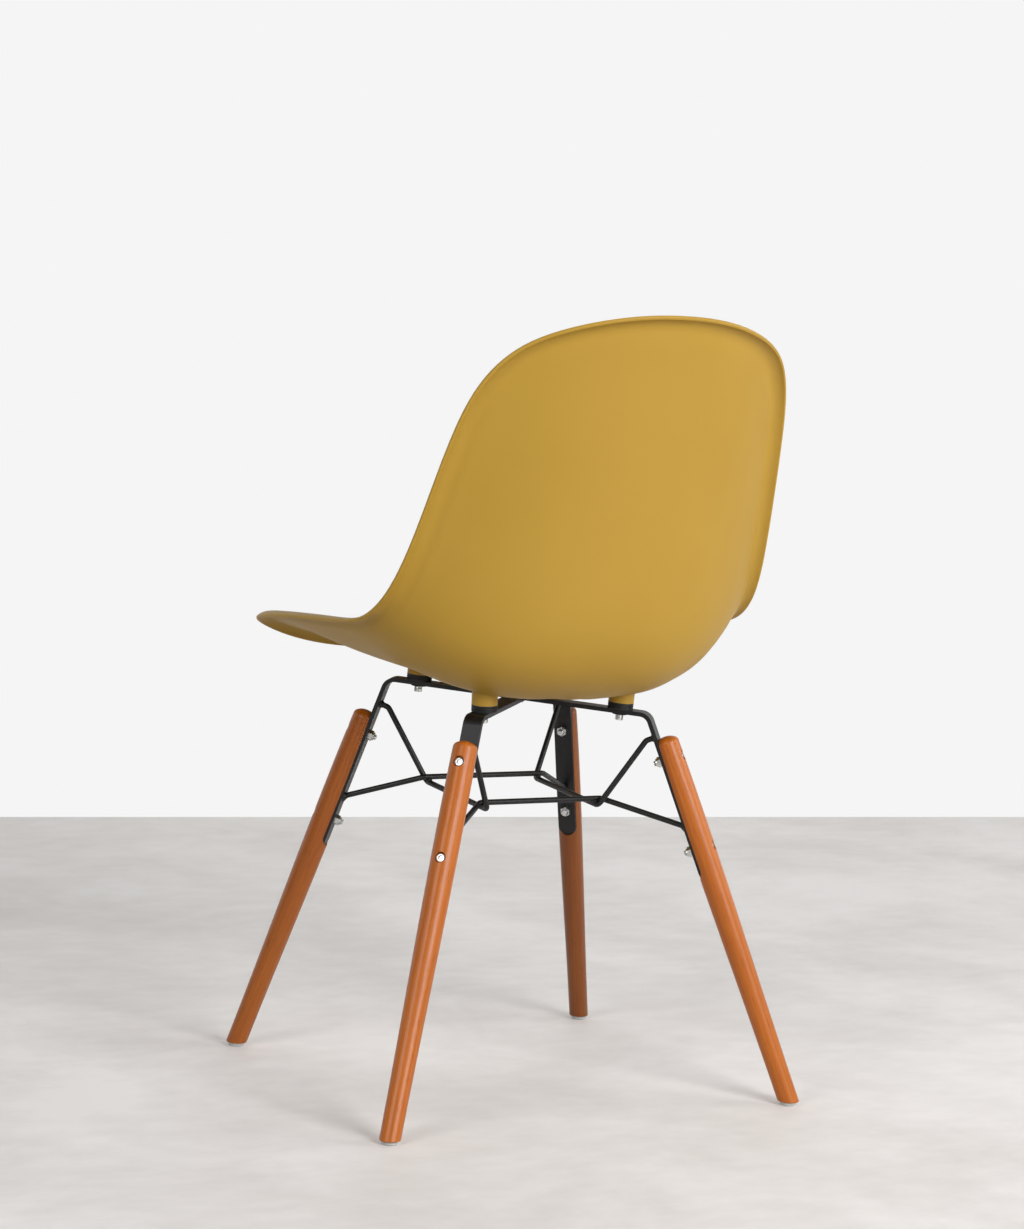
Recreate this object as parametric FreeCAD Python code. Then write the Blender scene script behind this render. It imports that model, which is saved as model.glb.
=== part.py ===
import FreeCAD, Part
import math
import os

os.makedirs("parts", exist_ok=True)

V = FreeCAD.Vector
UP = V(0, 0, 1)

# Moulded shell chair on four wooden legs. Millimetres and degrees, +Z up, front towards -Y.
# Shapes are drawn about the middle of the leg frame. Saving moves them so that the
# middle of the whole chair's depth lies over the origin, on the floor.
middle_of_depth = 7.19

# Seat shell: one moulding. Two guides run from the front edge to the top of the back,
# with matching points: the centre line (y, z) and the left side (x, y, z). Their z is the
# height above the middle of the straps, where the frame carries the shell.
shell_wall = 4.0
centre_guide = [(-246.5, 31.7), (-168, 32.2), (-76.5, 21.2), (20, 17.2), (106, 14.2),
                (174, 59.2), (203, 149.2), (229, 266.7), (261, 399.2)]
side_guide = [(215, -261, 71.7), (214, -177.5, 72.2), (212, -96.5, 74.2), (210, -25, 77.7), (209, 35.5, 81.7),
              (207, 80.5, 95.7), (199.5, 116.5, 135.2), (187.5, 149.5, 217.7), (179, 184.5, 343.7)]
seat_dish_power = 3.0
back_dish_power = 2.2
dish_change_start = 0.4
dish_change_length = 0.5
outline_middle = 0.47
front_corner_power = 4.9
top_corner_power = 10.0
rim_roll_radius = 15.0
rim_roll_angle = 70.0
rim_nose = 1.2

# Mounting bosses under the seat, with a moulded-in threaded insert in each.
boss_diameter = 27.0
boss_root_radius = 1.5
boss_end_height = 0.5
mount_reach = 109.0
insert_diameter = 7.0
insert_length = 6.5
insert_clearance = 0.05

# Rubber isolators between the bosses and the frame.
isolator_height = 7.0
isolator_diameter = 27.0
isolator_bore = 5.6
isolator_grooves = 2
groove_depth = 1.0
groove_width = 1.0

# Frame: two flat steel straps cross under the seat and turn down along the legs. They rise
# towards the front, and the front legs stand steeper than the rear ones.
strap_angle = 41.0
strap_width = 20.0
strap_thickness = 4.5
strap_middle_height = 408.8
strap_rise = 3.13
strap_bend_radius = 10.0
front_strap_reach = 142.0
rear_strap_reach = 139.5
front_leg_lean = 18.5
rear_leg_lean = 22.6
front_bolt_below_bend = 65.5
rear_bolt_below_bend = 51.5
bolt_pitch = 100.0
strap_tip_beyond_bolt = 31.0

# Frame wires: four bent rods brace the straps.
wire_diameter = 6.0
wire_bend_radius = 7.0
wire_weld_gap = 0.2
wire_crossing_x = 67.5
front_crossing_y = -63.0
rear_crossing_y = 58.5
front_crossing_drop = 98.3
rear_crossing_drop = 104.8
side_wire_bend_beyond = 5.5
end_wire_bend_beyond = 6.0
front_side_weld_above_bolt = 36.0
rear_side_weld_above_bolt = 26.0
side_wire_stub = 9.0
end_wire_weld_below_bolt = 74.0
weld_bead_height = 3.0
weld_bead_radius = 3.2
weld_collar_width = 1.6
weld_collar_edge = 0.1
seam_bead_radius = 2.0

# Legs: turned dowels with a domed top and a flat let in for the strap.
leg_top_above_bolt = 24.0
leg_top_diameter = 25.4
leg_widest_diameter = 26.5
leg_widest_below_top = 150.0
leg_foot_diameter = 21.4
leg_dome_height = 8.0
leg_flat_from_axis = 6.85
slot_clearance = 0.25
leg_foot_edge = 1.0

# Leg bolts, with nuts that hold a nylon locking ring.
bolt_diameter = 6.0
bolt_head_diameter = 10.5
bolt_head_height = 3.3
bolt_head_edge = 1.0
bolt_length = 28.0
bolt_socket_flats = 4.0
bolt_socket_depth = 2.0
bolt_hole_clearance = 0.25
bolt_seat_from_axis = 7.8
counterbore_clearance = 0.5
nut_flats = 10.0
nut_height = 4.6
nut_collar_diameter = 9.0
nut_collar_height = 1.6
locking_ring_diameter = 7.8
locking_ring_height = 1.4
thread_clearance = 0.05

# Screws that hold the shell, with a spring washer and a broad black washer each.
screw_diameter = 5.0
screw_length = 20.0
screw_head_diameter = 8.5
screw_head_height = 5.0
screw_socket_flats = 4.0
screw_socket_depth = 2.5
screw_hole_clearance = 0.3
spring_washer_diameter = 8.8
spring_washer_thickness = 1.3
spring_washer_split = 1.2
strap_washer_diameter = 16.0
strap_washer_thickness = 1.5

# Glides under the legs, each held by a nail.
glide_diameter = 17.0
glide_height = 4.0
glide_edge = 1.0
glide_recess_diameter = 7.0
glide_recess_depth = 1.6
nail_diameter = 2.4
nail_head_diameter = 6.0
nail_head_height = 0.8
nail_length = 13.0
nail_clearance = 0.05

# How close two places are to count as one.
same_place = 0.01

# Sizes that follow from those above.
half_strap = strap_thickness / 2
axis_from_strap = leg_flat_from_axis + half_strap
half_wires = (wire_diameter + wire_weld_gap) / 2
front_crossing_height = strap_middle_height - front_crossing_drop
rear_crossing_height = strap_middle_height - rear_crossing_drop


class End:
    """The places along half a strap and its leg, in the upright plane of their diagonal."""

    def __init__(self, rise, reach, lean, bolt_below_bend, side_weld_above_bolt):
        slope = math.radians(rise)
        lean = math.radians(lean)
        self.along = V(math.cos(slope), 0, math.sin(slope))
        self.normal = V(-math.sin(slope), 0, math.cos(slope))
        self.middle = V(0, 0, strap_middle_height)
        self.corner = self.middle + self.along * (reach / self.along.x)
        self.down = V(math.sin(lean), 0, -math.cos(lean))
        self.out = V(math.cos(lean), 0, math.sin(lean))
        self.upper_bolt = self.corner + self.down * bolt_below_bend
        self.lower_bolt = self.upper_bolt + self.down * bolt_pitch
        self.bolts = (self.upper_bolt, self.lower_bolt)
        self.side_weld = self.upper_bolt - self.down * side_weld_above_bolt
        self.end_weld = self.upper_bolt + self.down * end_wire_weld_below_bolt
        self.leg_top = self.upper_bolt + self.out * axis_from_strap - self.down * leg_top_above_bolt
        self.leg_length = (self.leg_top.z - glide_height) / math.cos(lean)
        self.leg_foot = self.leg_top + self.down * self.leg_length
        on_bar = self.middle + self.along * (mount_reach / self.along.x)
        self.strap_top = on_bar + self.normal * half_strap
        self.strap_bottom = on_bar - self.normal * half_strap
        self.boss_bottom = self.strap_top + self.normal * isolator_height


front = End(strap_rise, front_strap_reach, front_leg_lean,
            front_bolt_below_bend, front_side_weld_above_bolt)
rear = End(-strap_rise, rear_strap_reach, rear_leg_lean,
           rear_bolt_below_bend, rear_side_weld_above_bolt)

# Each corner's end of the frame, and the direction of its diagonal in plan.
corners = {
    "front_left": (front, -strap_angle),
    "rear_left": (rear, strap_angle),
    "rear_right": (rear, 180 - strap_angle),
    "front_right": (front, 180 + strap_angle),
}


def save(name, solids):
    """Writes one node, which is one solid or a group of separate ones."""
    shape = solids[0] if len(solids) == 1 else Part.makeCompound(solids)
    shape = shape.copy()
    shape.translate(V(0, -middle_of_depth, 0))
    shape.exportStep("parts/" + name + ".step")


def at_corner(shape, corner):
    """Turns a shape drawn in the XZ plane onto the diagonal of one corner."""
    turned = shape.copy()
    turned.rotate(V(0, 0, 0), UP, corners[corner][1])
    return turned


def corner_point(point, corner):
    angle = math.radians(corners[corner][1])
    return V(point.x * math.cos(angle), point.x * math.sin(angle), point.z)


def round_bar(diameter, start, end):
    return Part.makeCylinder(diameter / 2, (end - start).Length, start, end - start)


def hexagon(flats, height, base, direction):
    radius = flats / math.sqrt(3)
    points = [V(radius * math.cos(math.pi * i / 3), radius * math.sin(math.pi * i / 3), 0)
              for i in range(7)]
    prism = Part.Face(Part.makePolygon(points)).extrude(V(0, 0, height))
    prism.Placement = FreeCAD.Placement(base, FreeCAD.Rotation(UP, direction))
    return prism


def turned_about(points, base, direction):
    """Revolves a closed outline of (radius, height) points about an axis."""
    outline = Part.makePolygon([V(r, 0, h) for r, h in points + points[:1]])
    solid = Part.Face(outline).revolve(V(0, 0, 0), UP, 360)
    solid.Placement = FreeCAD.Placement(base, FreeCAD.Rotation(UP, direction))
    return solid


# Seat shell

def guide_curve(points):
    curve = Part.BSplineCurve()
    count = len(points)
    curve.interpolate(Points=points, Parameters=[i / (count - 1) for i in range(count)])
    return curve


centre_curve = guide_curve([V(0, y, strap_middle_height + z) for y, z in centre_guide])
side_curve = guide_curve([V(x, y, strap_middle_height + z) for x, y, z in side_guide])


def dish_power(t):
    """How flat the middle of the shell is across: flat in the seat, round in the back."""
    part = min(max((t - dish_change_start) / dish_change_length, 0), 1)
    blend = part * part * (3 - 2 * part)
    return seat_dish_power + (back_dish_power - seat_dish_power) * blend


def skin_point(x, t):
    """A point in the middle of the wall, x from the centre line and t along the guides."""
    centre = centre_curve.value(t)
    side = side_curve.value(t)
    rise = (abs(x) / side.x) ** dish_power(t)
    return V(x, centre.y + (side.y - centre.y) * rise, centre.z + (side.z - centre.z) * rise)


def skin_normal(x, t):
    """The direction out of the wall, towards the sitter."""
    step_x = 0.5
    step_t = 0.001
    across = skin_point(x + step_x, t) - skin_point(x - step_x, t)
    along = skin_point(x, t + step_t) - skin_point(x, t - step_t)
    return across.cross(along).normalize()


def outline_place(angle, part):
    """Where the outline, shrunk to a part of its size, lies on the skin: x and t."""
    power = front_corner_power if math.sin(angle) < 0 else top_corner_power
    power = 2 + (power - 2) * part * part
    reach = (abs(math.cos(angle)) ** power + abs(math.sin(angle)) ** power) ** (-1 / power)
    height = math.sin(angle) * reach * part
    length = 1 - outline_middle if height > 0 else outline_middle
    t = outline_middle + height * length
    return math.cos(angle) * reach * part * side_curve.value(t).x, t


ring_angles = [2 * math.pi * (i + 0.5) / 72 for i in range(72)]


def ring_points(part, offset):
    points = []
    for angle in ring_angles:
        x, t = outline_place(angle, part)
        points.append(skin_point(x, t) + skin_normal(x, t) * offset)
    return points


def rolled_points(turn, offset, nose=0):
    """The edge of the outline, turned outwards through an angle about the roll's radius."""
    edge = ring_points(1, 0)
    points = []
    for i, angle in enumerate(ring_angles):
        normal = skin_normal(*outline_place(angle, 1))
        tangent = edge[(i + 1) % len(edge)] - edge[i - 1]
        outward = tangent.cross(normal).normalize()
        sine, cosine = math.sin(math.radians(turn)), math.cos(math.radians(turn))
        middle = edge[i] + outward * rim_roll_radius * sine - normal * rim_roll_radius * (1 - cosine)
        facing = normal * cosine + outward * sine
        ahead = outward * cosine - normal * sine
        points.append(middle + facing * offset + ahead * nose)
    return points


def closed_wire(points):
    curve = Part.BSplineCurve()
    curve.interpolate(Points=points, PeriodicFlag=True)
    return Part.Wire(curve.toShape())


def flattened(points):
    """The same ring, moved onto its own middle plane, so that a flat face closes it."""
    middle = V(0, 0, 0)
    for point in points:
        middle += point / len(points)
    quarter = len(points) // 4
    normal = (points[0] - points[2 * quarter]).cross(points[quarter] - points[3 * quarter]).normalize()
    return [point - normal * (point - middle).dot(normal) for point in points]


def make_seat_shell():
    parts = [0.06, 0.2, 0.35, 0.5, 0.64, 0.76, 0.86, 0.94, 1]
    turns = [rim_roll_angle * i / 3 for i in (1, 2, 3)]
    half = shell_wall / 2

    def face_wires(offset):
        wires = [closed_wire(flattened(ring_points(parts[0], offset)))]
        wires += [closed_wire(ring_points(part, offset)) for part in parts[1:]]
        wires += [closed_wire(rolled_points(turn, offset)) for turn in turns]
        return wires

    under = face_wires(-half)
    over = face_wires(half)
    nose = closed_wire(rolled_points(rim_roll_angle, 0, rim_nose))
    faces = Part.makeLoft(under, False, False).Faces
    faces += Part.makeLoft(over, False, False).Faces
    faces += Part.makeLoft([under[-1], nose, over[-1]], False, False).Faces
    faces += [Part.Face(under[0]), Part.Face(over[0])]
    skin = Part.Compound(faces)
    skin.sewShape(same_place)
    shell = Part.Solid(skin.Shells[0])
    if shell.Volume < 0:
        shell.reverse()

    axes = [boss_axis(corner) for corner in corners]
    for foot, up in axes:
        column = Part.makeCylinder(boss_diameter / 2, 2 * boss_diameter, foot, up)
        below = min(column.cut(shell).Solids, key=lambda piece: piece.CenterOfMass.z)
        shell = shell.fuse(below)
    roots = [edge for edge in shell.Edges if any(is_boss_root(edge, *axis) for axis in axes)]
    shell = shell.makeFillet(boss_root_radius, roots)
    for foot, up in axes:
        shell = shell.cut(Part.makeCylinder(insert_diameter / 2 + insert_clearance, insert_length, foot, up))
    return shell.Solids[0]


def boss_axis(corner):
    """The middle of a boss's lower end, and the direction up its axis."""
    foot = corner_point(corners[corner][0].boss_bottom, corner)
    return foot, corner_point(corners[corner][0].normal, corner)


def is_boss_root(edge, foot, up):
    """Tells the edge where a boss meets the shell: round its axis, above its lower end."""
    if edge.Length < boss_diameter:
        return False
    for point in edge.discretize(9):
        height = (point - foot).dot(up)
        radius = (point - foot - up * height).Length
        if height < boss_end_height or abs(radius - boss_diameter / 2) > same_place:
            return False
    return True


# Frame

def strap_half(end):
    """Half a strap, from the middle of the frame to the tip, in the XZ plane."""
    turn = end.along.getAngle(end.down)
    middle_radius = strap_bend_radius + half_strap
    start = end.corner - end.along * middle_radius * math.tan(turn / 2)
    centre = start - end.normal * middle_radius
    faces = []
    for side in (1, -1):
        radius = middle_radius + side * half_strap
        inner_end = end.middle + UP * side * half_strap / end.along.x
        bend = [centre + (end.along * math.sin(a) + end.normal * math.cos(a)) * radius
                for a in (0, turn / 2, turn)]
        tip = end.lower_bolt + end.down * strap_tip_beyond_bolt + end.out * side * half_strap
        faces.append((inner_end, bend, tip))
    (top, outer, outer_tip), (bottom, inner, inner_tip) = faces
    edges = [
        Part.makeLine(top, outer[0]),
        Part.Arc(*outer).toShape(),
        Part.makeLine(outer[2], outer_tip),
        Part.makeLine(outer_tip, inner_tip),
        Part.makeLine(inner_tip, inner[2]),
        Part.Arc(*reversed(inner)).toShape(),
        Part.makeLine(inner[0], bottom),
        Part.makeLine(bottom, top),
    ]
    face = Part.Face(Part.Wire(edges))
    face.translate(V(0, -strap_width / 2, 0))
    strap = face.extrude(V(0, strap_width, 0))
    strap = strap.cut(tip_corners(end))
    hole = bolt_diameter + 2 * bolt_hole_clearance
    for bolt in end.bolts:
        reach = end.out * strap_thickness
        strap = strap.cut(round_bar(hole, bolt - reach, bolt + reach))
    screw_hole = screw_diameter + 2 * screw_hole_clearance
    reach = end.normal * strap_thickness
    return strap.cut(round_bar(screw_hole, end.strap_bottom - reach, end.strap_top + reach))


def tip_frame(shape, end):
    """Lays a shape drawn about the tip's round end onto the strap's drop."""
    middle = end.lower_bolt + end.down * (strap_tip_beyond_bolt - strap_width / 2)
    axes = FreeCAD.Matrix(end.down.x, 0, end.out.x, middle.x,
                          end.down.y, 1, end.out.y, middle.y,
                          end.down.z, 0, end.out.z, middle.z,
                          0, 0, 0, 1)
    return shape.transformGeometry(axes)


def tip_corners(end):
    """What is cut away to make the strap's end round."""
    block = Part.makeBox(strap_width, 2 * strap_width, 2 * strap_thickness,
                         V(0, -strap_width, -strap_thickness))
    disc = Part.makeCylinder(strap_width / 2, 2 * strap_thickness, V(0, 0, -strap_thickness))
    return tip_frame(block.cut(disc), end)


def make_straps():
    """One strap runs right across. The other is two halves welded to its edges."""
    halves = {corner: at_corner(strap_half(end), corner) for corner, (end, angle) in corners.items()}
    long_strap = halves["front_left"].fuse(halves["rear_right"]).removeSplitter()
    notch = Part.makeBox(4 * strap_width, strap_width, 4 * strap_width,
                         front.middle - V(2 * strap_width, strap_width / 2, 2 * strap_width))
    notch = at_corner(notch, "front_left")
    arms = {}
    for corner in ("rear_left", "front_right"):
        arms[corner] = max(halves[corner].cut(notch).Solids, key=lambda piece: piece.Volume)
    return long_strap.Solids[0], arms


def bent_rod(points, diameter, bend_radius):
    """A round rod along straight runs, with each corner turned about the bend radius."""
    edges = []
    start = points[0]
    for before, corner, after in zip(points, points[1:], points[2:]):
        inward = (before - corner).normalize()
        outward = (after - corner).normalize()
        half_turn = (math.pi - inward.getAngle(outward)) / 2
        reach = bend_radius * math.tan(half_turn)
        first = corner + inward * reach
        last = corner + outward * reach
        bisector = (inward + outward).normalize()
        centre = corner + bisector * (bend_radius / math.cos(half_turn))
        middle = centre - bisector * bend_radius
        edges += [Part.makeLine(start, first), Part.Arc(first, middle, last).toShape()]
        start = last
    edges.append(Part.makeLine(start, points[-1]))
    path = Part.Wire(edges)
    circle = Part.Circle(points[0], (points[1] - points[0]).normalize(), diameter / 2)
    section = Part.Wire(circle.toShape())
    return path.makePipeShell([section], True, False)


def side_wire_points(side):
    """A side wire: from the front leg's strap, down under the end wires, to the rear one."""
    front_corner, rear_corner = ("front_left", "rear_left") if side > 0 else ("front_right", "rear_right")
    x = side * wire_crossing_x
    below_front = V(x, front_crossing_y, front_crossing_height - half_wires)
    below_rear = V(x, rear_crossing_y, rear_crossing_height - half_wires)
    beyond = (below_rear - below_front).normalize() * side_wire_bend_beyond
    return [corner_point(front.side_weld, front_corner), corner_point(wire_stub(front), front_corner),
            below_front - beyond, below_rear + beyond,
            corner_point(wire_stub(rear), rear_corner), corner_point(rear.side_weld, rear_corner)]


def wire_stub(end):
    """Where a side wire's short end, square to the strap, turns down."""
    return end.side_weld - end.out * (half_strap + side_wire_stub)


def end_wire_points(end, y, height):
    """A front or rear wire, from one leg's strap to the other's."""
    left, right = ("front_left", "front_right") if end is front else ("rear_left", "rear_right")
    bend = V(wire_crossing_x + end_wire_bend_beyond, y, height + half_wires)
    return [corner_point(end.end_weld, left), bend, V(-bend.x, bend.y, bend.z),
            corner_point(end.end_weld, right)]


def make_wires(straps):
    routes = {
        "side_wire_left": side_wire_points(1),
        "side_wire_right": side_wire_points(-1),
        "end_wire_front": end_wire_points(front, front_crossing_y, front_crossing_height),
        "end_wire_rear": end_wire_points(rear, rear_crossing_y, rear_crossing_height),
    }
    wires = {}
    for name, points in routes.items():
        rod = bent_rod(points, wire_diameter, wire_bend_radius)
        rod = rod.cut(straps)
        wires[name] = max(rod.Solids, key=lambda piece: piece.Volume)
    return wires, routes


def collar(weld_end, next_point, straps, wire):
    """The fillet of weld round a wire where it meets the strap."""
    along = (next_point - weld_end).normalize()
    length = half_strap + 2 * weld_collar_width
    towards = weld_end + along * length
    cone = Part.makeCone(wire_diameter / 2 + 2 * weld_collar_width, wire_diameter / 2 + weld_collar_edge,
                         length, weld_end, along)
    pieces = cone.cut(straps).cut(wire).Solids
    return min(pieces, key=lambda piece: (piece.CenterOfMass - towards).Length)


def crossing_bead(x, y, height, wires):
    """The weld between a side wire and the end wire that lies on it."""
    base = V(x, y, height - weld_bead_height / 2)
    bead = Part.makeCylinder(weld_bead_radius, weld_bead_height, base)
    for wire in wires.values():
        bead = bead.cut(wire)
    return max(bead.Solids, key=lambda piece: piece.Volume)


def seam_bead(corner, straps):
    """The weld under the seam between a half strap and the long one."""
    length = strap_width - 2 * seam_bead_radius
    seam = Part.makeCylinder(seam_bead_radius, length, V(-length / 2, 0, 0), V(1, 0, 0))
    seam.rotate(V(0, 0, 0), UP, corners["front_left"][1])
    from_middle = strap_width / 2 / math.sin(2 * math.radians(strap_angle))
    end = corners[corner][0]
    point = end.middle + end.along * (from_middle / end.along.x) - UP * half_strap
    seam.translate(corner_point(point, corner))
    return max(seam.cut(straps).Solids, key=lambda piece: piece.Volume)


def make_welds(straps, wires, routes):
    beads = []
    for x in (-wire_crossing_x, wire_crossing_x):
        beads.append(crossing_bead(x, front_crossing_y, front_crossing_height, wires))
        beads.append(crossing_bead(x, rear_crossing_y, rear_crossing_height, wires))
    for name, points in routes.items():
        for end, after in ((points[0], points[1]), (points[-1], points[-2])):
            beads.append(collar(end, after, straps, wires[name]))
    for corner in ("rear_left", "front_right"):
        beads.append(seam_bead(corner, straps))
    return beads


# Legs

def turned_leg(length):
    """The turned leg, standing on the origin with its axis up."""
    widest = length - leg_widest_below_top
    shoulder = length - leg_dome_height
    extra = leg_foot_diameter
    side = Part.BSplineCurve()
    side.interpolate([V(leg_foot_diameter / 2, 0, -extra), V(leg_foot_diameter / 2, 0, 0),
                      V(leg_widest_diameter / 2, 0, widest), V(leg_top_diameter / 2, 0, shoulder)])
    top_radius = leg_top_diameter / 2
    dome_side = top_radius * math.cos(math.pi / 4)
    dome_rise = shoulder + leg_dome_height * math.sin(math.pi / 4)
    dome = Part.BSplineCurve()
    dome.interpolate(Points=[V(top_radius, 0, shoulder), V(dome_side, 0, dome_rise), V(0, 0, length)],
                     InitialTangent=V(0, 0, 1), FinalTangent=V(-1, 0, 0))
    foot = V(0, 0, -extra)
    edges = [side.toShape(), dome.toShape(), Part.makeLine(V(0, 0, length), foot),
             Part.makeLine(foot, V(leg_foot_diameter / 2, 0, -extra))]
    return Part.Face(Part.Wire(edges)).revolve(V(0, 0, 0), UP, 360)


def make_leg(end):
    leg = turned_leg(end.leg_length)
    leg.Placement = FreeCAD.Placement(end.leg_foot, FreeCAD.Rotation(UP, end.down * -1))
    waste = 4 * leg_foot_diameter
    leg = leg.cut(Part.makeBox(waste, waste, waste, end.leg_foot - V(waste / 2, waste / 2, waste)))

    slot_width = strap_width + 2 * slot_clearance
    slot_length = strap_tip_beyond_bolt + bolt_pitch + leg_top_above_bolt + strap_width
    slot_depth = leg_widest_diameter
    block = Part.makeBox(slot_length, slot_width, slot_depth,
                         V(-slot_length, -slot_width / 2, half_strap - slot_depth))
    disc = Part.makeCylinder(slot_width / 2, slot_depth, V(0, 0, half_strap - slot_depth))
    leg = leg.cut(tip_frame(block.fuse(disc).removeSplitter(), end))

    hole = bolt_diameter + 2 * bolt_hole_clearance
    bore = bolt_head_diameter + 2 * counterbore_clearance
    for bolt in end.bolts:
        leg = leg.cut(round_bar(hole, bolt, bolt + end.out * leg_widest_diameter))
        seat = bolt_seat(bolt, end)
        leg = leg.cut(round_bar(bore, seat, seat + end.out * leg_widest_diameter))
    nail_hole = nail_diameter + 2 * nail_clearance
    nail_top = end.leg_foot + UP * (nail_length - glide_height + glide_recess_depth)
    leg = leg.cut(round_bar(nail_hole, end.leg_foot - UP, nail_top))
    rim = [edge for edge in leg.Edges
           if abs(edge.BoundBox.ZMax - glide_height) < same_place and edge.BoundBox.XLength > nail_hole * 2]
    return leg.makeFillet(leg_foot_edge, rim).Solids[0]


def make_glide(end):
    radius = glide_diameter / 2
    recess = glide_recess_diameter / 2
    hole = nail_diameter / 2 + nail_clearance
    outline = [(recess, 0), (radius - glide_edge, 0), (radius, glide_edge), (radius, glide_height),
               (hole, glide_height), (hole, glide_recess_depth), (recess, glide_recess_depth)]
    return turned_about(outline, V(end.leg_foot.x, 0, 0), UP)


def make_nail(end):
    radius = nail_diameter / 2
    head = nail_head_diameter / 2
    outline = [(0, -nail_head_height), (head, -nail_head_height), (head, 0), (radius, 0),
               (radius, nail_length - 2 * radius), (0, nail_length)]
    return turned_about(outline, V(end.leg_foot.x, 0, glide_recess_depth), UP)


# Fasteners

def bolt_seat(bolt, end):
    """The middle of the face that a leg bolt's head bears on."""
    return bolt + end.out * (axis_from_strap + bolt_seat_from_axis)


def make_leg_bolt(bolt, end):
    seat = bolt_seat(bolt, end)
    radius = bolt_head_diameter / 2
    outline = [(0, -bolt_length), (bolt_diameter / 2, -bolt_length), (bolt_diameter / 2, 0), (radius, 0),
               (radius, bolt_head_height - bolt_head_edge),
               (radius - bolt_head_edge, bolt_head_height), (0, bolt_head_height)]
    solid = turned_about(outline, seat, end.out)
    socket_base = seat + end.out * (bolt_head_height - bolt_socket_depth)
    return solid.cut(hexagon(bolt_socket_flats, bolt_head_height, socket_base, end.out))


def make_leg_nut(bolt, end):
    face = bolt - end.out * half_strap
    inward = end.out * -1
    body = hexagon(nut_flats, nut_height, face, inward)
    collar_end = face + inward * (nut_height + nut_collar_height)
    body = body.fuse(round_bar(nut_collar_diameter, face, collar_end)).removeSplitter()
    bore = bolt_diameter + 2 * thread_clearance
    body = body.cut(round_bar(bore, face - inward, collar_end + inward))
    ring_space = round_bar(locking_ring_diameter, face + inward * nut_height, collar_end + inward)
    return body.cut(ring_space)


def make_locking_ring(bolt, end):
    inward = end.out * -1
    start = bolt + inward * (half_strap + nut_height)
    end_face = start + inward * locking_ring_height
    ring = round_bar(locking_ring_diameter - 2 * thread_clearance, start, end_face)
    return ring.cut(round_bar(bolt_diameter + 2 * thread_clearance, start - inward, end_face + inward))


def make_mount_screw(end):
    shank = screw_diameter / 2
    head = screw_head_diameter / 2
    chamfer = screw_diameter / 10
    outline = [(0, screw_length), (shank - chamfer, screw_length), (shank, screw_length - chamfer),
               (shank, 0), (head, 0), (head, chamfer - screw_head_height),
               (head - chamfer, -screw_head_height), (0, -screw_head_height)]
    seat = end.strap_bottom - end.normal * (strap_washer_thickness + spring_washer_thickness)
    solid = turned_about(outline, seat, end.normal)
    socket_base = seat - end.normal * (screw_head_height + screw_socket_depth)
    return solid.cut(hexagon(screw_socket_flats, 2 * screw_socket_depth, socket_base, end.normal))


def washer(outer, thickness, top, end):
    bore = screw_diameter / 2 + screw_hole_clearance
    outline = [(bore, -thickness), (outer / 2, -thickness), (outer / 2, 0), (bore, 0)]
    return turned_about(outline, top, end.normal)


def make_strap_washer(end):
    return washer(strap_washer_diameter, strap_washer_thickness, end.strap_bottom, end)


def make_spring_washer(end):
    top = end.strap_bottom - end.normal * strap_washer_thickness
    ring = washer(spring_washer_diameter, spring_washer_thickness, top, end)
    split = Part.makeBox(spring_washer_diameter, spring_washer_split, 4 * spring_washer_thickness,
                         top - V(0, spring_washer_split / 2, 2 * spring_washer_thickness))
    return ring.cut(split)


def make_isolator(end):
    radius = isolator_diameter / 2
    bore = isolator_bore / 2
    outline = [(bore, 0), (radius, 0)]
    spacing = isolator_height / (isolator_grooves + 1)
    for i in range(isolator_grooves):
        middle = spacing * (i + 1)
        outline += [(radius, middle - groove_width / 2), (radius - groove_depth, middle - groove_width / 2),
                    (radius - groove_depth, middle + groove_width / 2), (radius, middle + groove_width / 2)]
    outline += [(radius, isolator_height), (bore, isolator_height)]
    return turned_about(outline, end.strap_top, end.normal)


def make_insert(end):
    bore = screw_diameter / 2 + thread_clearance
    outer = insert_diameter / 2
    outline = [(bore, 0), (outer, 0), (outer, insert_length), (bore, insert_length)]
    return turned_about(outline, end.boss_bottom, end.normal)


def at_all_corners(make):
    """Makes one piece for each corner of the frame."""
    return {corner: at_corner(make(end), corner) for corner, (end, angle) in corners.items()}


def at_all_bolts(make):
    """Makes one piece for each of the eight leg bolts."""
    return [at_corner(make(bolt, end), corner) for corner, (end, angle) in corners.items()
            for bolt in end.bolts]


def build():
    save("seat_shell", [make_seat_shell()])
    long_strap, arms = make_straps()
    straps = Part.makeCompound([long_strap] + list(arms.values()))
    save("strap_long", [long_strap])
    for corner, arm in arms.items():
        save("strap_" + corner, [arm])
    wires, routes = make_wires(straps)
    for name, wire in wires.items():
        save(name, [wire])
    save("weld_beads", make_welds(straps, wires, routes))

    one_of_each = {"isolator_": make_isolator, "leg_": make_leg, "glide_": make_glide}
    for name, make in one_of_each.items():
        for corner, shape in at_all_corners(make).items():
            save(name + corner, [shape])

    four_together = {
        "shell_inserts": make_insert,
        "mount_screws": make_mount_screw,
        "spring_washers": make_spring_washer,
        "strap_washers": make_strap_washer,
        "glide_nails": make_nail,
    }
    for name, make in four_together.items():
        save(name, list(at_all_corners(make).values()))
    save("leg_bolts", at_all_bolts(make_leg_bolt))
    save("leg_nuts", at_all_bolts(make_leg_nut))
    save("nut_locking_rings", at_all_bolts(make_locking_ring))


build()
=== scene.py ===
import math

import bmesh
import bpy
from mathutils import Matrix, Vector


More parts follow.
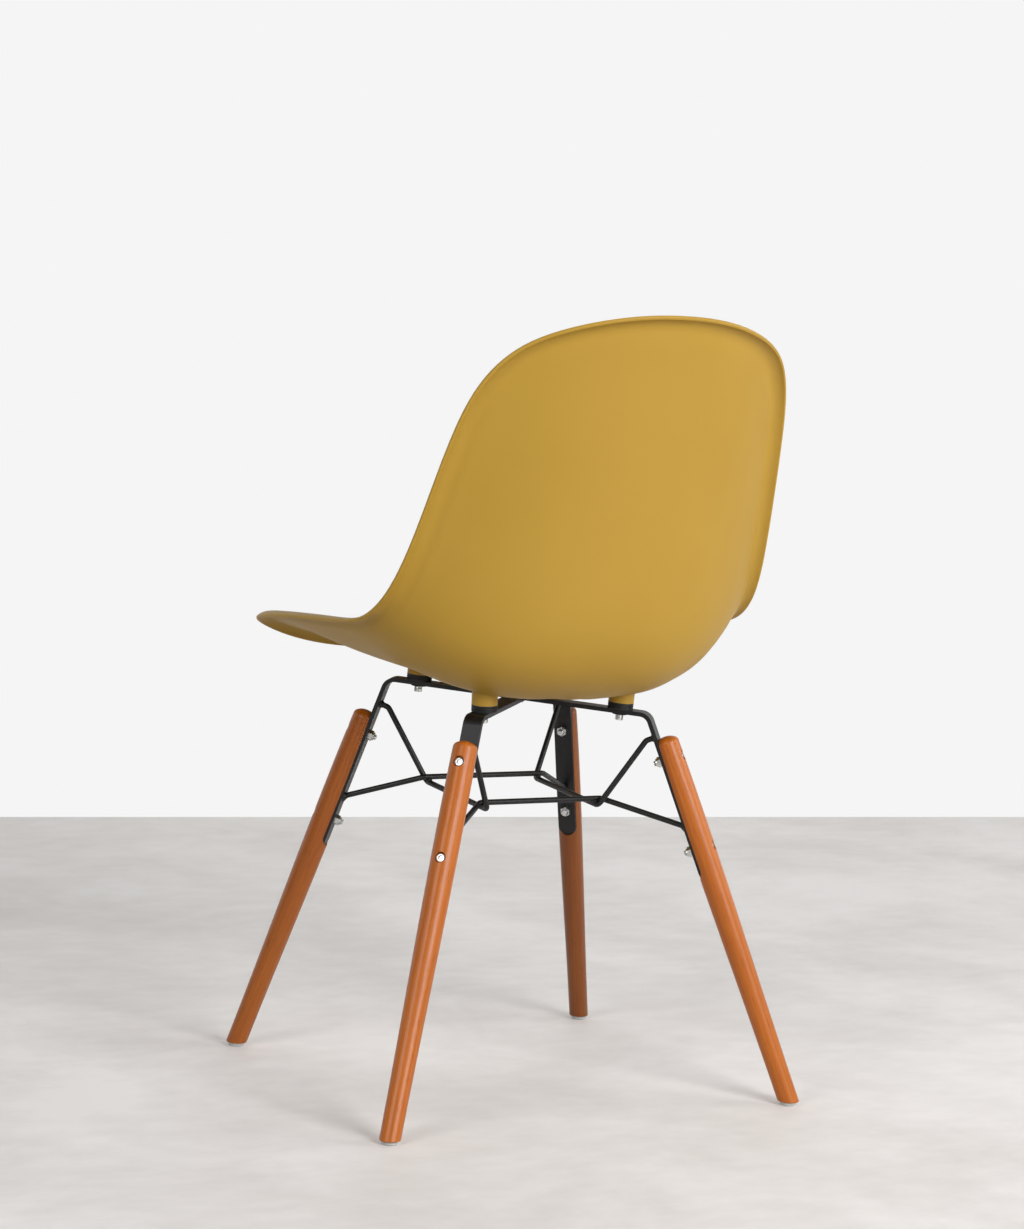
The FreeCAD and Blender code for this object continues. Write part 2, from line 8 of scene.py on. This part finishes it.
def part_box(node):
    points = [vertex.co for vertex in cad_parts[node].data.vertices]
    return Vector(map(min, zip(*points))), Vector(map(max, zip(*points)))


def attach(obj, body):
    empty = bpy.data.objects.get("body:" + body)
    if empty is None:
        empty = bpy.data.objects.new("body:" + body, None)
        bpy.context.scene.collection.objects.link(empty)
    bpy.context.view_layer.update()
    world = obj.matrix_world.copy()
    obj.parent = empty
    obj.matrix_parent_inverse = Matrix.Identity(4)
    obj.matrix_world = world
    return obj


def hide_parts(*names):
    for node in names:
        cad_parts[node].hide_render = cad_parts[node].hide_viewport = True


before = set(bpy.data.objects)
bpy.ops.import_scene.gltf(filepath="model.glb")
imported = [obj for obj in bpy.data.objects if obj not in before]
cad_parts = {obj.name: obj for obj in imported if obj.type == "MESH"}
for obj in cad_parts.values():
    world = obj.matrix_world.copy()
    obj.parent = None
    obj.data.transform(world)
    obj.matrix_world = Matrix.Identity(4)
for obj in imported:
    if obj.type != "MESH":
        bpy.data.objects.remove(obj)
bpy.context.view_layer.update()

# The photograph and its camera, in the chair's frame. Metres and degrees.
photo_width = 1024
photo_height = 1229
photo_focal_pixels = 3100.0
wall_foot_row = 817.0
camera_yaw = 30.33
camera_pitch = 6.07
camera_roll = 3.44
camera_distance = 3.2571
camera_height = 0.8415
camera_sideways = -0.0123
camera_reach = 50.0
sensor_width = 36.0

# The room, in metres.
room_half_width = 6.0
room_depth = 7.0
wall_height = 4.0

# Colours of the finishes, in sRGB.
shell_colour = "#BB9439"
shell_shade_colour = "#B48D32"
wood_light_colour = "#C26C1C"
wood_dark_colour = "#8C410D"
wood_pore_colour = "#5A2608"
frame_colour = "#101011"
washer_colour = "#101010"
rubber_colour = "#141414"
zinc_colour = "#D2D2CF"
brass_colour = "#C8A25A"
locking_ring_colour = "#2C5E9E"
glide_colour = "#E6E6E2"
floor_colour = "#EDEAE8"
floor_mark_colour = "#DEDAD7"
wall_colour = "#F5F5F5"
daylight_colour = "#FFFFFF"

# Real sizes of the patterns, in metres, and the height of their grain.
shell_grain_size = 0.0005
shell_drift_size = 0.12
powder_coat_size = 0.0006
rubber_grain_size = 0.0004
wood_ring_width = 0.0045
wood_fibre_width = 0.0006
wood_fibre_stretch = 40.0
wood_pore_width = 0.0004
plating_grain_size = 0.0008
floor_cloud_size = 0.30
floor_trowel_size = 0.06
floor_trowel_stretch = 2.0
shell_grain_depth = 0.00004
coarse_grain_depth = 0.00003
fine_grain_depth = 0.00001

# How far the grain makes the gloss of a plain finish vary, up and down.
gloss_spread = 0.15

# Fasteners. The leg bolts are button heads, and the mount screws have knurled socket heads.
ring_steps = 48
bolt_radius = 0.003
bolt_length = 0.028
bolt_thread_length = 0.016
bolt_thread_pitch = 0.001
bolt_head_radius = 0.0055
bolt_head_height = 0.0033
bolt_head_land = 0.0020
bolt_head_rows = 9
bolt_socket_flats = 0.004
bolt_socket_depth = 0.002
bolt_socket_chamfer = 0.0003
screw_radius = 0.0025
screw_length = 0.020
screw_thread_length = 0.016
screw_thread_pitch = 0.0008
screw_head_radius = 0.00425
screw_head_height = 0.005
screw_head_edge = 0.0005
screw_socket_flats = 0.004
screw_socket_depth = 0.0025
screw_knurl_depth = 0.00012
screw_knurls = 24
thread_depth_per_pitch = 0.61
rows_per_pitch = 6
sharp_angle = 35.0

# Closer than this, in metres, two points are one, and a point lies at a shank's end.
same_point = 1e-6
same_height = 1e-5

# Softboxes: how far from the chair towards the wall, to the photograph's right and up,
# then the box's width and height in metres and its power in watts.
world_strength = 0.09
light_target_height = 0.45
softboxes = {
    "left_softbox": (-2.6, -1.8, 1.3, (1.4, 1.4), 36),
    "right_softbox": (-2.6, 2.2, 1.3, (1.8, 1.8), 102),
    "side_softbox": (0.3, 2.4, 0.9, (1.4, 1.4), 21),
}

# The floor glows a little to the camera, and sends the chair only this share of its light.
floor_glow = 0.1
floor_bounce = 0.6

# The lean of the legs, and the rise of the straps from the middle out to each end, in degrees.
leg_leans = {"front": 18.5, "rear": 22.6}
strap_rises = {"front": 3.13, "rear": -3.13}

corner_names = ("front_left", "front_right", "rear_left", "rear_right")

# How light each leg's wood is made, one leg against another, as a factor on the two wood colours.
leg_wood_lightness = {"front_left": 0.88, "front_right": 0.55, "rear_left": 1.15, "rear_right": 1.15}


def colour(code):
    """An sRGB hex code as the linear colour that Blender mixes light with."""
    parts = [int(code[i:i + 2], 16) / 255 for i in (1, 3, 5)]
    linear = [c / 12.92 if c <= 0.04045 else ((c + 0.055) / 1.055) ** 2.4 for c in parts]
    return (*linear, 1.0)


def add_node(tree, kind, inputs=None, **settings):
    """Adds a shader node. A socket takes a value, or the output of another node."""
    made = tree.nodes.new("ShaderNode" + kind)
    for key, value in settings.items():
        setattr(made, key, value)
    for key, value in (inputs or {}).items():
        if isinstance(value, bpy.types.NodeSocket):
            tree.links.new(value, made.inputs[key])
        else:
            made.inputs[key].default_value = value
    return made


def new_material(name):
    material = bpy.data.materials.new(name)
    material.use_nodes = True
    material.node_tree.nodes.clear()
    return material, material.node_tree


def two_tones(tree, pattern, first, second, start=0.0, end=1.0):
    """Colours a pattern from the first tone to the second as it goes from start to end."""
    ramp = add_node(tree, "ValToRGB", {"Fac": pattern})
    lower, upper = ramp.color_ramp.elements
    lower.position = start
    lower.color = colour(first)
    upper.position = end
    upper.color = colour(second)
    return ramp.outputs["Color"]


def shell_plastic():
    """Injection-moulded polypropylene, with a fine even satin grain."""
    material, tree = new_material("shell_injection_moulded_polypropylene")
    place = add_node(tree, "TexCoord").outputs["Object"]
    drift = add_node(tree, "TexNoise", {"Vector": place, "Scale": 1 / shell_drift_size, "Detail": 2.0})
    tint = two_tones(tree, drift.outputs["Fac"], shell_shade_colour, shell_colour)
    grain = add_node(tree, "TexNoise", {"Vector": place, "Scale": 1 / shell_grain_size, "Detail": 2.0})
    bump = add_node(tree, "Bump", {"Height": grain.outputs["Fac"], "Distance": shell_grain_depth})
    shader = add_node(tree, "BsdfPrincipled", {
        "Base Color": tint, "Roughness": 0.48, "IOR": 1.49, "Specular IOR Level": 0.3,
        "Normal": bump.outputs["Normal"]})
    add_node(tree, "OutputMaterial", {"Surface": shader.outputs["BSDF"]})
    return material


def wood(corner):
    """Turned hardwood, stained and varnished. The grain runs along the leg at one corner."""
    material, tree = new_material("leg_varnished_turned_hardwood_" + corner)
    place = add_node(tree, "TexCoord").outputs["Object"]
    axis = leg_axis(corner)
    across = axis.orthogonal().normalized()
    turn = Matrix((across, axis.cross(across), axis)).to_euler()
    from_foot = add_node(tree, "Mapping", {"Vector": place, "Location": -feet[corner]})
    upright = add_node(tree, "Mapping", {"Vector": from_foot.outputs["Vector"], "Rotation": turn})
    long_way = add_node(tree, "Mapping", {"Vector": upright.outputs["Vector"],
                                          "Scale": (1, 1, 1 / wood_fibre_stretch)})
    along = long_way.outputs["Vector"]
    streaks = add_node(tree, "TexNoise", {"Vector": along, "Scale": 1 / wood_ring_width, "Detail": 5.0,
                                          "Roughness": 0.6, "Distortion": 0.6})
    fibres = add_node(tree, "TexNoise", {"Vector": along, "Scale": 1 / wood_fibre_width, "Detail": 3.0})
    pores = add_node(tree, "TexNoise", {"Vector": along, "Scale": 1 / wood_pore_width, "Detail": 1.0})
    grain = add_node(tree, "Mix", {"Factor": 0.3, "A": streaks.outputs["Fac"], "B": fibres.outputs["Fac"]},
                     data_type="FLOAT")
    stain = two_tones(tree, grain.outputs["Result"], wood_dark_colour, wood_light_colour,
                      start=0.18, end=0.70)
    pore_mask = add_node(tree, "MapRange", {"Value": pores.outputs["Fac"],
                                            "From Min": 0.68, "From Max": 0.78})
    porous = add_node(tree, "Mix", {"Factor": pore_mask.outputs["Result"], "A": stain,
                                    "B": colour(wood_pore_colour)}, data_type="RGBA")
    # Each leg's wood colour is made lighter or darker by that leg's own lightness factor.
    shaded = add_node(tree, "HueSaturation", {"Color": porous.outputs["Result"],
                                              "Value": leg_wood_lightness[corner]})
    bump = add_node(tree, "Bump", {"Height": fibres.outputs["Fac"], "Distance": coarse_grain_depth})
    shader = add_node(tree, "BsdfPrincipled", {
        "Base Color": shaded.outputs["Color"], "Roughness": 0.45, "IOR": 1.45, "Specular IOR Level": 0.35,
        "Coat Weight": 0.4, "Coat Roughness": 0.28, "Coat IOR": 1.45, "Normal": bump.outputs["Normal"]})
    add_node(tree, "OutputMaterial", {"Surface": shader.outputs["BSDF"]})
    return material


def plain_finish(name, base, grain_size, grain_depth, roughness, metallic=0.0, **more):
    """A material of one colour with a fine surface grain, which also breaks up its gloss."""
    material, tree = new_material(name)
    place = add_node(tree, "TexCoord").outputs["Object"]
    grain = add_node(tree, "TexNoise", {"Vector": place, "Scale": 1 / grain_size, "Detail": 2.0})
    gloss = add_node(tree, "MapRange", {"Value": grain.outputs["Fac"],
                                        "To Min": roughness * (1 - gloss_spread),
                                        "To Max": roughness * (1 + gloss_spread)})
    bump = add_node(tree, "Bump", {"Height": grain.outputs["Fac"], "Distance": grain_depth})
    shader = add_node(tree, "BsdfPrincipled", {
        "Base Color": colour(base), "Metallic": metallic, "Roughness": gloss.outputs["Result"], "IOR": 1.5,
        "Normal": bump.outputs["Normal"], **more})
    add_node(tree, "OutputMaterial", {"Surface": shader.outputs["BSDF"]})
    return material


def assign(material, *nodes):
    for name in nodes:
        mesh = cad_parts[name].data
        mesh.materials.clear()
        mesh.materials.append(material)


def centre_of(node):
    low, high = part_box(node)
    return (Vector(low) + Vector(high)) / 2


feet = {corner: centre_of("glide_" + corner) for corner in corner_names}
base_centre = centre_of("mount_screws")


def level_out(corner):
    """The level direction from the middle of the frame to a corner."""
    out = feet[corner] - base_centre
    out.z = 0
    return out.normalized()


def at_angle(angles, corner):
    """The angle of the end that a corner is at, in radians."""
    end = corner.split("_")[0]
    return math.radians(angles[end])


def leg_axis(corner):
    """The direction up one leg."""
    lean = at_angle(leg_leans, corner)
    return Vector((0, 0, math.cos(lean))) - level_out(corner) * math.sin(lean)


def out_of_leg(corner):
    """The direction square to a leg, away from the middle of the frame."""
    upward = leg_axis(corner)
    out = level_out(corner)
    return (out - upward * out.dot(upward)).normalized()


def out_of_strap(corner):
    """The direction down a mount screw, square to the sloping strap."""
    rise = at_angle(strap_rises, corner)
    return level_out(corner) * math.sin(rise) - Vector((0, 0, math.cos(rise)))


def dress_nodes():
    """Gives every CAD node its finish, and the fasteners their detail."""
    assign(shell_plastic(), "seat_shell")
    paint = plain_finish("frame_satin_black_powder_coat", frame_colour, powder_coat_size,
                         coarse_grain_depth, roughness=0.42, **{"Specular IOR Level": 0.4})
    assign(paint, "strap_long", "strap_rear_left", "strap_front_right", "end_wire_front", "end_wire_rear",
           "side_wire_left", "side_wire_right", "weld_beads")
    zinc = plain_finish("fastener_zinc_plated_steel", zinc_colour, plating_grain_size,
                        fine_grain_depth, roughness=0.3, metallic=1.0)
    assign(zinc, "leg_nuts", "spring_washers", "glide_nails")
    add_fasteners("leg_bolts_threaded", "leg_bolts", button_bolt_rings(),
                  bolt_length, out_of_leg, zinc)
    add_fasteners("mount_screws_knurled", "mount_screws", socket_screw_rings(),
                  screw_length, out_of_strap, zinc)
    black = plain_finish("washer_black_oxide_steel", washer_colour, plating_grain_size,
                         fine_grain_depth, roughness=0.4, metallic=0.6)
    assign(black, "strap_washers")
    rubber = plain_finish("isolator_moulded_rubber", rubber_colour, rubber_grain_size,
                          coarse_grain_depth, roughness=0.6)
    brass = plain_finish("insert_machined_brass", brass_colour, plating_grain_size,
                         fine_grain_depth, roughness=0.3, metallic=1.0)
    assign(brass, "shell_inserts")
    nylon = plain_finish("locking_ring_moulded_nylon", locking_ring_colour, rubber_grain_size,
                         fine_grain_depth, roughness=0.4)
    assign(nylon, "nut_locking_rings")
    glide = plain_finish("glide_moulded_polyethylene", glide_colour, rubber_grain_size,
                         fine_grain_depth, roughness=0.35, **{"Transmission Weight": 0.35})
    for corner in corner_names:
        assign(rubber, "isolator_" + corner)
        assign(glide, "glide_" + corner)
        assign(wood(corner), "leg_" + corner)


def hexagon_radius(flats, angle):
    """The distance from a hexagon's middle to its side, at an angle."""
    sixth = math.pi / 3
    from_flat = (angle + sixth / 2) % sixth - sixth / 2
    return flats / 2 / math.cos(from_flat)


def thread_rows(radius, pitch, thread_length, length):
    """Rings down a thread that ends a length below height 0. Each is a height and an outline."""
    start = thread_length - length + pitch / 2
    count = round(thread_length / pitch * rows_per_pitch)
    rows = []
    for i in range(count + 1):
        height = start - thread_length * i / count
        taper = min(1.0, i / rows_per_pitch, (count - i) / rows_per_pitch)

        def outline(angle, height=height, taper=taper):
            turn = (height / pitch - angle / (2 * math.pi)) % 1
            return radius - abs(2 * turn - 1) * pitch * thread_depth_per_pitch * taper

        rows.append((height, outline))
    rows.append((-length, radius - pitch * thread_depth_per_pitch))
    return rows


def add_rings(mesh, rings, place):
    """Joins rings into one closed skin. An outline is one radius, or gives the radius at an angle."""
    angles = [2 * math.pi * i / ring_steps for i in range(ring_steps)]
    made = []
    for height, outline in rings:
        ring = []
        for angle in angles:
            reach = outline(angle) if callable(outline) else outline
            point = Vector((reach * math.cos(angle), reach * math.sin(angle), height))
            ring.append(mesh.verts.new(place @ point))
        made.append(ring)
    for upper, lower in zip(made, made[1:]):
        for i in range(ring_steps):
            after = (i + 1) % ring_steps
            mesh.faces.new((upper[i], lower[i], lower[after], upper[after]))
    mesh.faces.new(made[0])
    mesh.faces.new(reversed(made[-1]))


def button_bolt_rings():
    """A button head with a hexagon socket, a plain neck and a thread. Its seat is at height 0."""

    def socket(angle):
        return hexagon_radius(bolt_socket_flats, angle)

    top = bolt_head_height
    socket_corner = bolt_socket_flats / math.sqrt(3)
    rings = [
        (top - bolt_socket_depth, socket),
        (top - bolt_socket_chamfer, socket),
        (top, socket_corner + bolt_socket_chamfer),
    ]
    inner = socket_corner + 2 * bolt_socket_chamfer
    for i in range(bolt_head_rows):
        turn = math.pi / 2 * i / (bolt_head_rows - 1)
        height = bolt_head_land + (top - bolt_head_land) * math.cos(turn)
        rings.append((height, inner + (bolt_head_radius - inner) * math.sin(turn)))
    rings.append((0, bolt_head_radius))
    rings.append((0, bolt_radius))
    return rings + thread_rows(bolt_radius, bolt_thread_pitch, bolt_thread_length, bolt_length)


def socket_screw_rings():
    """A knurled head with a hexagon socket, and a thread. Its seat is at height 0."""

    def socket(angle):
        return hexagon_radius(screw_socket_flats, angle)

    def knurled(angle):
        return screw_head_radius - screw_knurl_depth * (1 + math.cos(screw_knurls * angle)) / 2

    top = screw_head_height
    edge = screw_head_edge
    rings = [
        (top - screw_socket_depth, socket),
        (top, socket),
        (top, screw_head_radius - edge),
        (top - edge / 3, screw_head_radius - edge / 3),
        (top - edge, knurled),
        (edge, knurled),
        (0, screw_head_radius - edge / 2),
        (0, screw_radius),
    ]
    return rings + thread_rows(screw_radius, screw_thread_pitch, screw_thread_length, screw_length)


def loose_parts(node):
    """The separate solids of a node, as lists of points."""
    mesh = bmesh.new()
    mesh.from_mesh(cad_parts[node].data)
    bmesh.ops.remove_doubles(mesh, verts=mesh.verts, dist=same_point)
    left = set(mesh.verts)
    parts = []
    while left:
        found = [left.pop()]
        for vert in found:
            for edge in vert.link_edges:
                other = edge.other_vert(vert)
                if other in left:
                    left.remove(other)
                    found.append(other)
        parts.append([vert.co.copy() for vert in found])
    mesh.free()
    return parts


def nearest_corner(points):
    middle = sum(points, Vector()) / len(points)
    return min(corner_names, key=lambda corner: (feet[corner].xy - middle.xy).length)


def seat_place(points, direction, length):
    """The frame of a fastener whose shank ends at its lowest point along a direction."""
    tip = min(point.dot(direction) for point in points)
    end = [point for point in points if point.dot(direction) < tip + same_height]
    middle = sum(end, Vector()) / len(end)
    turn = Vector((0, 0, 1)).rotation_difference(direction).to_matrix().to_4x4()
    return Matrix.Translation(middle + direction * length) @ turn


def add_fasteners(name, node, rings, length, direction_at, material):
    """Puts one detailed fastener where each solid of a node lies."""
    mesh = bmesh.new()
    for points in loose_parts(node):
        direction = direction_at(nearest_corner(points))
        add_rings(mesh, rings, seat_place(points, direction, length))
    bmesh.ops.recalc_face_normals(mesh, faces=mesh.faces)
    data = bpy.data.meshes.new(name)
    mesh.to_mesh(data)
    mesh.free()
    data.materials.append(material)
    data.shade_smooth()
    data.set_sharp_from_angle(angle=math.radians(sharp_angle))
    piece = bpy.data.objects.new(name, data)
    bpy.context.scene.collection.objects.link(piece)
    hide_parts(node)
    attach(piece, "root")


def camera_axes():
    """The place of the photograph's camera, and its right, up and forward."""
    yaw, pitch, roll = (math.radians(a) for a in (camera_yaw, camera_pitch, camera_roll))
    back = Vector((math.sin(yaw), math.cos(yaw), 0))
    level_right = Vector((-math.cos(yaw), math.sin(yaw), 0))
    up = Vector((0, 0, 1))
    forward = -back * math.cos(pitch) - up * math.sin(pitch)
    level_up = up * math.cos(pitch) - back * math.sin(pitch)
    right = level_right * math.cos(roll) + level_up * math.sin(roll)
    upward = -level_right * math.sin(roll) + level_up * math.cos(roll)
    place = (Vector((0, base_centre.y, camera_height)) + back * camera_distance
             + level_right * camera_sideways)
    return place, right, upward, forward


def add_camera():
    place, right, upward, forward = camera_axes()
    data = bpy.data.cameras.new("photo_camera")
    data.sensor_fit = "HORIZONTAL"
    data.sensor_width = sensor_width
    data.lens = photo_focal_pixels / photo_width * sensor_width
    data.clip_end = camera_reach
    camera = bpy.data.objects.new("photo_camera", data)
    axes = Matrix((right, upward, -forward)).transposed().to_4x4()
    camera.matrix_world = Matrix.Translation(place) @ axes
    bpy.context.scene.collection.objects.link(camera)
    bpy.context.scene.camera = camera


def floor_point(column, row):
    """The point on the floor that the photograph shows at a pixel."""
    place, right, upward, forward = camera_axes()
    ray = (forward * photo_focal_pixels + right * (column - photo_width / 2)
           - upward * (row - photo_height / 2))
    return place - ray * (place.z / ray.z)


def add_sheet(name, points, material):
    """One flat face of the room."""
    mesh = bpy.data.meshes.new(name)
    mesh.from_pydata([tuple(p) for p in points], [], [tuple(range(len(points)))])
    mesh.materials.append(material)
    sheet = bpy.data.objects.new(name, mesh)
    bpy.context.scene.collection.objects.link(sheet)


def seen_directly(tree):
    """1 for the camera's rays and for mirrored or refracted ones, and 0 for light that bounces."""
    path = add_node(tree, "LightPath")
    seen = add_node(tree, "Math", {0: path.outputs["Is Camera Ray"], 1: path.outputs["Is Glossy Ray"]},
                    operation="MAXIMUM")
    either = add_node(tree, "Math", {0: seen.outputs[0], 1: path.outputs["Is Transmission Ray"]},
                      operation="MAXIMUM")
    return either.outputs[0]


def floor_material():
    """Pale trowelled concrete, with soft clouds and longer marks where the trowel passed."""
    material, tree = new_material("floor_trowelled_concrete")
    place = add_node(tree, "TexCoord").outputs["Object"]
    clouds = add_node(tree, "TexNoise", {"Vector": place, "Scale": 1 / floor_cloud_size, "Detail": 8.0,
                                         "Roughness": 0.62, "Distortion": 0.4})
    stretched = add_node(tree, "Mapping", {"Vector": place, "Scale": (1, floor_trowel_stretch, 1)})
    trowel = add_node(tree, "TexNoise", {"Vector": stretched.outputs["Vector"],
                                         "Scale": 1 / floor_trowel_size, "Detail": 6.0, "Roughness": 0.6})
    marks = add_node(tree, "Mix", {"Factor": 0.25, "A": clouds.outputs["Fac"], "B": trowel.outputs["Fac"]},
                     data_type="FLOAT")
    tint = two_tones(tree, marks.outputs["Result"], floor_mark_colour, floor_colour, start=0.38, end=0.60)
    seen = seen_directly(tree)
    share = add_node(tree, "MapRange", {"Value": seen, "To Min": floor_bounce, "To Max": 1.0})
    shaded = add_node(tree, "HueSaturation", {"Color": tint, "Value": share.outputs["Result"]})
    glow = add_node(tree, "Math", {0: seen, 1: floor_glow}, operation="MULTIPLY")
    shader = add_node(tree, "BsdfPrincipled", {
        "Base Color": shaded.outputs["Color"], "Roughness": 0.6, "Emission Color": tint,
        "Emission Strength": glow.outputs[0]})
    add_node(tree, "OutputMaterial", {"Surface": shader.outputs["BSDF"]})
    return material


def wall_material():
    """White matte paint that glows evenly to the camera and lights the room as plain paint does."""
    material, tree = new_material("wall_matte_paint")
    painted = add_node(tree, "BsdfDiffuse", {"Color": colour(wall_colour)})
    bright = add_node(tree, "Emission", {"Color": colour(wall_colour), "Strength": 1.0})
    mixed = add_node(tree, "MixShader", {0: seen_directly(tree), 1: painted.outputs[0],
                                         2: bright.outputs[0]})
    add_node(tree, "OutputMaterial", {"Surface": mixed.outputs[0]})
    return material


def add_room():
    """The floor, and a wall whose foot lies where the photograph shows it."""
    left = floor_point(0, wall_foot_row)
    right = floor_point(photo_width, wall_foot_row)
    along = (right - left).normalized() * room_half_width
    middle = (left + right) / 2
    away = Vector((0, 0, 1)).cross(along).normalized()
    if away.dot(middle - base_centre) < 0:
        away = -away
    near = middle - away * room_depth
    up = Vector((0, 0, wall_height))
    add_sheet("floor", [near - along, near + along, middle + along, middle - along], floor_material())
    add_sheet("wall", [middle - along, middle + along, middle + along + up, middle - along + up],
              wall_material())


def add_softbox(name, place, target, size, power):
    data = bpy.data.lights.new(name, "AREA")
    data.shape = "RECTANGLE"
    data.size, data.size_y = size
    data.energy = power
    light = bpy.data.objects.new(name, data)
    light.location = place
    light.rotation_euler = (target - place).to_track_quat("-Z", "Y").to_euler()
    bpy.context.scene.collection.objects.link(light)


def add_lights():
    world = bpy.data.worlds.new("studio")
    world.use_nodes = True
    background = world.node_tree.nodes["Background"]
    background.inputs["Color"].default_value = colour(daylight_colour)
    background.inputs["Strength"].default_value = world_strength
    bpy.context.scene.world = world
    _, right, _, forward = camera_axes()
    towards = Vector((forward.x, forward.y, 0)).normalized()
    side = Vector((right.x, right.y, 0)).normalized()
    target = Vector((base_centre.x, base_centre.y, light_target_height))
    for name, (ahead, sideways, up, size, power) in softboxes.items():
        place = target + towards * ahead + side * sideways + Vector((0, 0, up))
        add_softbox(name, place, target, size, power)


dress_nodes()
add_room()
add_lights()
add_camera()
bpy.context.scene.view_settings.view_transform = "Standard"
